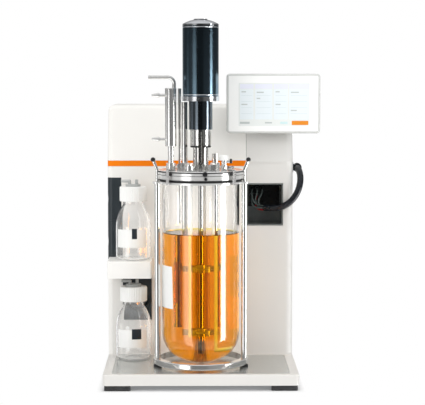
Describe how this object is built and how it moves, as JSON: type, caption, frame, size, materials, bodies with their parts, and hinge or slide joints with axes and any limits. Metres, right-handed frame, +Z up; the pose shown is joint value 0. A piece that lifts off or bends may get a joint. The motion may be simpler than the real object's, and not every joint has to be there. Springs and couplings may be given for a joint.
{
  "type": "bench bioreactor",
  "caption": "Stirred glass bioreactor in a rod stand on a tray base, with a control housing, tilting touch screen, pump heads and reagent bottles.",
  "frame": {"origin": "middle of the whole instrument's plan, on the bench under its feet", "axes": "+Z up, -Y out of the front of the tray, +X to the touch screen's side"},
  "size_m": [0.426, 0.434, 0.7055],
  "materials": {
    "housing_white": "satin",
    "column_white": "satin",
    "tray_grey": "matt",
    "foot_rubber": "matt",
    "accent_orange": "satin",
    "bay_black": "matt",
    "sheet_steel": "galvanised",
    "supply_steel": "plain",
    "board_green": "matt",
    "valve_aluminium": "milled",
    "port_brass": "nickel plated",
    "fan_black": "matt",
    "switch_black": "satin",
    "pump_grey": "matt",
    "roller_white": "satin",
    "pump_motor_steel": "plain",
    "shelf_white": "satin",
    "clear_glass": "clear",
    "insert_grey": "satin",
    "cap_white": "satin",
    "screen_white": "satin",
    "screen_glass": "clear",
    "arm_grey": "satin",
    "stand_steel": "electropolished",
    "knob_black": "matt",
    "vessel_steel": "electropolished",
    "liquid_orange": "clear",
    "seal_black": "matt",
    "clamp_dark": "satin",
    "adapter_black": "satin",
    "motor_silver": "turned",
    "motor_navy": "satin",
    "probe_dark": "plain",
    "cable_black": "matt",
    "cable_plastic": "satin"
  },
  "bodies": {
    "instrument": {"base_pan": "housing_white", "tray_inlay": "tray_grey", "base_plate": "sheet_steel", "base_feet": "foot_rubber", "main_cover": "housing_white", "accent_stripe": "accent_orange", "column_cover": "column_white", "cable_bay": "bay_black", "rear_panel": "sheet_steel", "chassis": "sheet_steel", "power_supply": "supply_steel", "control_board": "board_green", "gas_valve_block": "valve_aluminium", "rear_ports": "port_brass", "fan_frame": "fan_black", "power_inlet": "switch_black", "pump_head_1": "pump_grey", "pump_head_2": "pump_grey", "pump_head_3": "pump_grey", "pump_motors": "pump_motor_steel", "bottle_shelf": "shelf_white", "bottle_1": "clear_glass", "bottle_2": "clear_glass", "screen_arm": "arm_grey", "stand_ring": "stand_steel", "stand_rods": "stand_steel", "stand_top_ring": "stand_steel", "stand_pads": "foot_rubber", "handle_knobs": "knob_black", "vessel_glass": "clear_glass", "culture_liquid": "liquid_orange", "flange_ring": "vessel_steel", "flange_seal": "seal_black", "head_plate": "vessel_steel", "clamps": "clamp_dark", "drive_column": "vessel_steel", "motor_adapter": "adapter_black", "motor_flange": "motor_silver", "motor_housing": "motor_navy", "motor_cap": "motor_silver", "sensor_probes": "probe_dark", "immersed_tubes": "vessel_steel", "port_fittings": "vessel_steel", "exit_cooler": "vessel_steel", "cable_bundle": "cable_black", "sensor_cables": "cable_plastic", "bundle_gland": "adapter_black"},
    "stirrer": {"agitator_shaft": "vessel_steel", "impellers": "vessel_steel"},
    "upper_pump_rotor": {"pump_rotor_1": "roller_white"},
    "lower_pump_rotor": {"pump_rotor_2": "roller_white"},
    "front_pump_rotor": {"pump_rotor_3": "roller_white"},
    "fan_wheel": {"fan_rotor": "fan_black"},
    "screen": {"screen_case": "screen_white", "screen_front": "screen_glass"},
    "rocker": {"power_switch": "switch_black"},
    "upper_insert": {"cap_insert_1": "insert_grey"},
    "upper_cap": {"cap_ring_1": "cap_white"},
    "lower_insert": {"cap_insert_2": "insert_grey"},
    "lower_cap": {"cap_ring_2": "cap_white"}
  },
  "joints": [
    {"name": "agitator_spin", "type": "hinge", "parent": "instrument", "child": "stirrer", "pos_m": [-0.026, -0.107, 0.0675], "axis": [0, 0, 1], "continuous": true},
    {"name": "upper_pump_spin", "type": "hinge", "parent": "instrument", "child": "upper_pump_rotor", "pos_m": [-0.205, 0.027, 0.3488], "axis": [-1, 0, 0], "continuous": true},
    {"name": "lower_pump_spin", "type": "hinge", "parent": "instrument", "child": "lower_pump_rotor", "pos_m": [-0.205, 0.027, 0.2625], "axis": [-1, 0, 0], "continuous": true},
    {"name": "front_pump_spin", "type": "hinge", "parent": "instrument", "child": "front_pump_rotor", "pos_m": [-0.154, 0.005, 0.1465], "axis": [0, -1, 0], "continuous": true},
    {"name": "fan_spin", "type": "hinge", "parent": "instrument", "child": "fan_wheel", "pos_m": [0.084, 0.192, 0.4315], "axis": [0, 1, 0], "continuous": true},
    {"name": "screen_tilt", "type": "hinge", "parent": "instrument", "child": "screen", "pos_m": [0.1195, 0.007, 0.5235], "axis": [-1, 0, 0], "range_deg": [-15, 25]},
    {"name": "switch_rock", "type": "hinge", "parent": "instrument", "child": "rocker", "pos_m": [0.0725, 0.203, 0.0775], "axis": [1, 0, 0], "range_deg": [-6, 6]},
    {"name": "upper_cap_lift", "type": "slide", "parent": "instrument", "child": "upper_insert", "axis": [0, 0, 1], "range_m": [0, 0.006]},
    {"name": "upper_cap_turn", "type": "hinge", "parent": "upper_insert", "child": "upper_cap", "pos_m": [-0.16, -0.04, 0.3695], "axis": [0, 0, 1], "range_deg": [0, 540]},
    {"name": "lower_cap_lift", "type": "slide", "parent": "instrument", "child": "lower_insert", "axis": [0, 0, 1], "range_m": [0, 0.006]},
    {"name": "lower_cap_turn", "type": "hinge", "parent": "lower_insert", "child": "lower_cap", "pos_m": [-0.16, -0.04, 0.1695], "axis": [0, 0, 1], "range_deg": [0, 540]}
  ],
  "couplings": [
    {"joint": "upper_cap_lift", "follows": "upper_cap_turn", "m_per_rad": 0.0006366},
    {"joint": "lower_cap_lift", "follows": "lower_cap_turn", "m_per_rad": 0.0006366}
  ]
}
